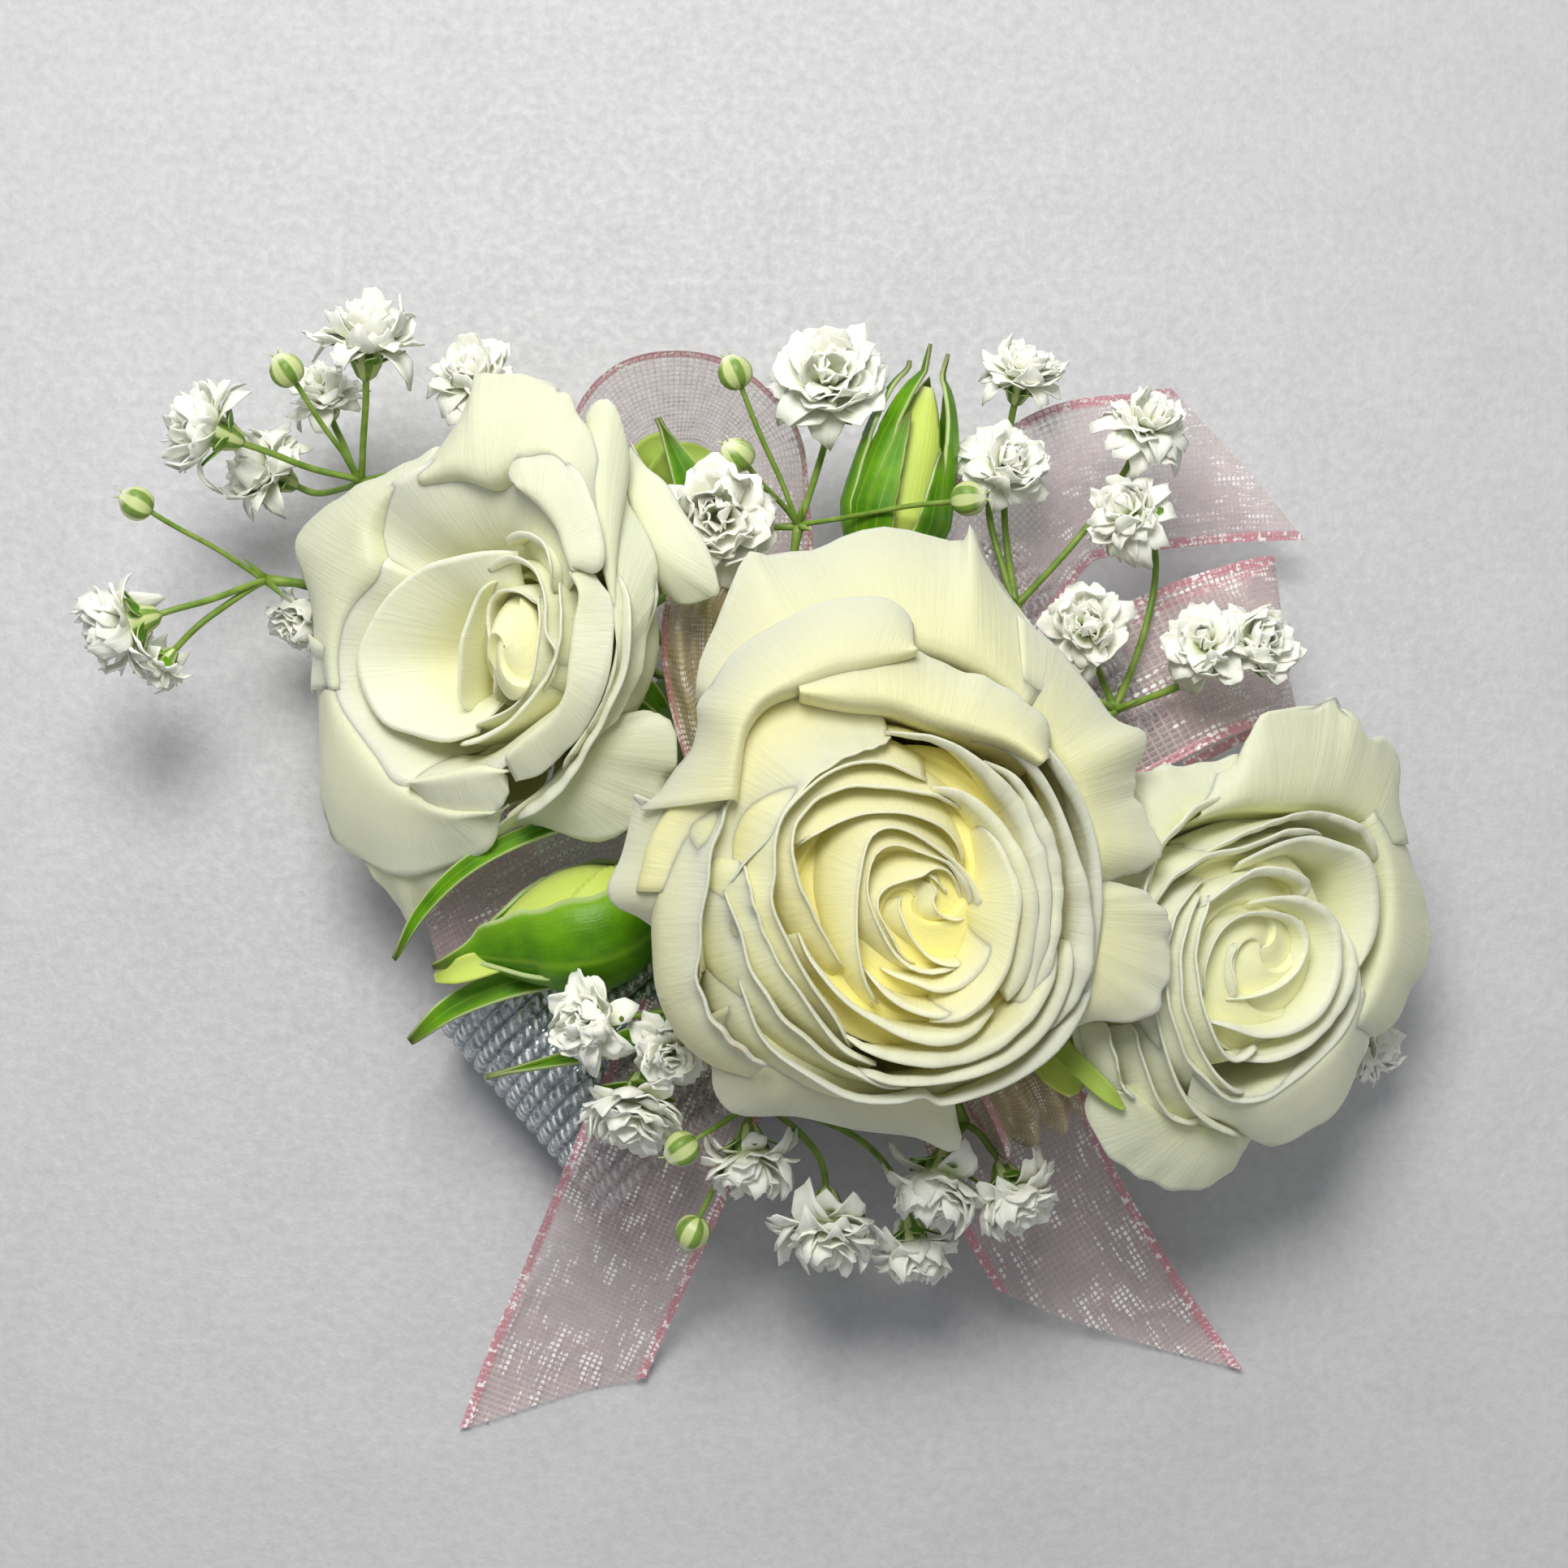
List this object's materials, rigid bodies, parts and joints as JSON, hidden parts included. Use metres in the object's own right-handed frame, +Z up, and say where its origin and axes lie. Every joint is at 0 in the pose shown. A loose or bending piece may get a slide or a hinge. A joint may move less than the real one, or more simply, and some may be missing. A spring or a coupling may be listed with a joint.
{
  "type": "rose corsage",
  "caption": "Wrist corsage of cream spray roses, rose buds and small white gypsophila florets with sheer ribbon, bound on a pad to a ribbed stretch wristband.",
  "frame": {"origin": "the middle of the wristband's flat underside, which rests on the table", "axes": "+Z up; +X along the corsage's longest extent, from the left rose to the right rose; +Y to the back, away from the two front ribbon tails"},
  "size_m": [0.1285, 0.1093, 0.0496],
  "materials": {
    "silver_band": "silver metallic thread over elastic",
    "pad_felt": "felt",
    "stem_tape": "green floral tape",
    "rose_petal_warm": "soft petal, warm cream",
    "rose_petal_cream": "soft petal, cream",
    "rose_green": "fresh green sepal and stem",
    "bud_petal": "closed petal, pale lime",
    "leaf_green": "fresh leaf",
    "gypsophila_white": "white florets on thin green stalks",
    "organza_pink": "sheer dusty pink organza, darker selvage"
  },
  "bodies": {
    "root": {"wristband": "silver_band", "base_pad": "pad_felt", "stem_bundle": "stem_tape", "rose_centre_petals": "rose_petal_warm", "rose_centre_calyx": "rose_green", "rose_left_petals": "rose_petal_cream", "rose_left_calyx": "rose_green", "rose_right_petals": "rose_petal_cream", "rose_right_calyx": "rose_green", "bud_front_petals": "bud_petal", "bud_front_sepals": "rose_green", "bud_back_petals": "bud_petal", "bud_back_sepals": "rose_green", "bud_small_petals": "bud_petal", "bud_small_sepals": "rose_green", "leaf_front": "leaf_green", "leaf_back": "leaf_green", "spray_left_low": "gypsophila_white", "spray_left_high": "gypsophila_white", "spray_back_left": "gypsophila_white", "spray_back_right": "gypsophila_white", "spray_right": "gypsophila_white", "spray_right_low": "gypsophila_white", "spray_front_left": "gypsophila_white", "spray_front": "gypsophila_white", "spray_front_right": "gypsophila_white", "tail_front_left": "organza_pink", "tail_front_right": "organza_pink", "tail_back_right": "organza_pink", "loop_right": "organza_pink", "loop_back": "organza_pink", "loop_left": "organza_pink", "loop_mid": "organza_pink", "loop_front": "organza_pink"}
  },
  "joints": []
}
